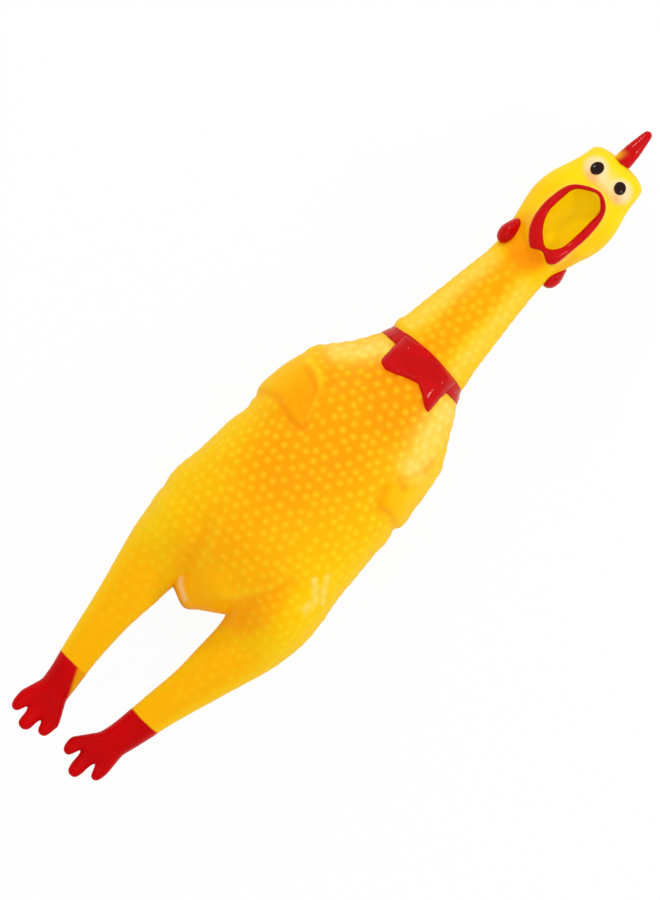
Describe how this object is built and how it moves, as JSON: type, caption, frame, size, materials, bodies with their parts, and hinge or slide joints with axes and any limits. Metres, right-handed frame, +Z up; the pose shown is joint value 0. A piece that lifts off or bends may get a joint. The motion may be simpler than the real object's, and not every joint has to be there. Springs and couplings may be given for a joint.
{
  "type": "rubber chicken",
  "caption": "Hollow soft-vinyl squeaky chicken with a wide open beak, goose-pimpled skin, red comb, bow tie and feet, and a reed squeaker in its throat.",
  "frame": {"origin": "middle of the flat patch on the back, on which the toy lies", "axes": "+Z up through the belly, +Y along the body towards the head, +X to the toy's own left side (the right as its belly is seen)"},
  "size_m": [0.0774, 0.3118, 0.0561],
  "materials": {
    "skin": "soft moulded vinyl, satin, yellow with an orange airbrushed front",
    "tail_skin": "thin pale vinyl, satin",
    "mouth_skin": "soft moulded vinyl, satin, orange deep inside",
    "red_paint": "glossy red vinyl paint on soft vinyl",
    "eye_paint": "cream sprayed paint, satin",
    "pupil_paint": "gloss brown-black paint",
    "squeaker_plastic": "white moulded polyethylene",
    "reed_plastic": "thin cut film"
  },
  "bodies": {
    "torso": {"torso_shell": "skin", "belly_fold_ring": "skin", "left_wing": "skin", "right_wing": "skin", "tail_cone": "tail_skin", "collar_band": "red_paint", "bow_tie": "red_paint", "neck_lower_fold": "skin", "left_hip_fold": "skin", "right_hip_fold": "skin"},
    "belly": {"belly_panel": "skin"},
    "neck": {"neck_middle": "skin", "neck_upper_fold": "skin"},
    "head": {"throat_sleeve": "skin", "head_shell": "skin", "mouth_lining": "mouth_skin", "beak_lip": "red_paint", "comb": "red_paint", "left_wattle": "red_paint", "right_wattle": "red_paint", "left_eye": "eye_paint", "right_eye": "eye_paint", "left_pupil": "pupil_paint", "right_pupil": "pupil_paint", "squeaker_cup": "squeaker_plastic", "squeaker_cap": "squeaker_plastic", "reed_holder": "squeaker_plastic"},
    "squeaker_reed": {"reed": "reed_plastic"},
    "left_thigh": {"left_thigh": "skin", "left_knee_fold": "skin"},
    "left_shank": {"left_shank": "skin", "left_ankle_fold": "skin"},
    "left_foot": {"left_foot": "red_paint"},
    "right_thigh": {"right_thigh": "skin", "right_knee_fold": "skin"},
    "right_shank": {"right_shank": "skin", "right_ankle_fold": "skin"},
    "right_foot": {"right_foot": "red_paint"}
  },
  "joints": [
    {"name": "neck_side_bend", "type": "hinge", "parent": "torso", "child": "neck", "pos_m": [-0.0001, 0.0685, 0.027], "axis": [0, 0, 1], "range_deg": [-30, 30], "stiffness_Nm_per_rad": 1.2, "deforming": ["neck_lower_fold"]},
    {"name": "neck_nod", "type": "hinge", "parent": "neck", "child": "head", "pos_m": [0.0002, 0.0905, 0.027], "axis": [1, 0, 0], "range_deg": [-30, 30], "stiffness_Nm_per_rad": 0.8, "deforming": ["neck_upper_fold"]},
    {"name": "belly_squeeze", "type": "slide", "parent": "torso", "child": "belly", "axis": [0, 0, -1], "range_m": [0, 0.012], "stiffness_N_per_m": 400, "deforming": ["belly_fold_ring"]},
    {"name": "left_leg_splay", "type": "hinge", "parent": "torso", "child": "left_thigh", "pos_m": [-0.0205, -0.065, 0.0258], "axis": [0, 0, -1], "range_deg": [-2, 25], "stiffness_Nm_per_rad": 0.5, "deforming": ["left_hip_fold"]},
    {"name": "left_leg_bend", "type": "hinge", "parent": "left_thigh", "child": "left_shank", "pos_m": [-0.0188, -0.0855, 0.0246], "axis": [1, 0, 0], "range_deg": [-40, 40], "stiffness_Nm_per_rad": 0.3, "deforming": ["left_knee_fold"]},
    {"name": "left_foot_flex", "type": "hinge", "parent": "left_shank", "child": "left_foot", "pos_m": [-0.0167, -0.1015, 0.0233], "axis": [1, 0, 0], "range_deg": [-30, 30], "stiffness_Nm_per_rad": 0.2, "deforming": ["left_ankle_fold"]},
    {"name": "right_leg_splay", "type": "hinge", "parent": "torso", "child": "right_thigh", "pos_m": [0.0237, -0.065, 0.0258], "axis": [0, 0, 1], "range_deg": [-2, 25], "stiffness_Nm_per_rad": 0.5, "deforming": ["right_hip_fold"]},
    {"name": "right_leg_bend", "type": "hinge", "parent": "right_thigh", "child": "right_shank", "pos_m": [0.0208, -0.0855, 0.0246], "axis": [1, 0, 0], "range_deg": [-40, 40], "stiffness_Nm_per_rad": 0.3, "deforming": ["right_knee_fold"]},
    {"name": "right_foot_flex", "type": "hinge", "parent": "right_shank", "child": "right_foot", "pos_m": [0.0173, -0.1015, 0.0233], "axis": [1, 0, 0], "range_deg": [-30, 30], "stiffness_Nm_per_rad": 0.2, "deforming": ["right_ankle_fold"]},
    {"name": "reed_flutter", "type": "hinge", "parent": "head", "child": "squeaker_reed", "pos_m": [0.0003, 0.109, 0.027], "axis": [1, 0, 0], "range_deg": [-1, 6], "stiffness_Nm_per_rad": 0.0005}
  ]
}
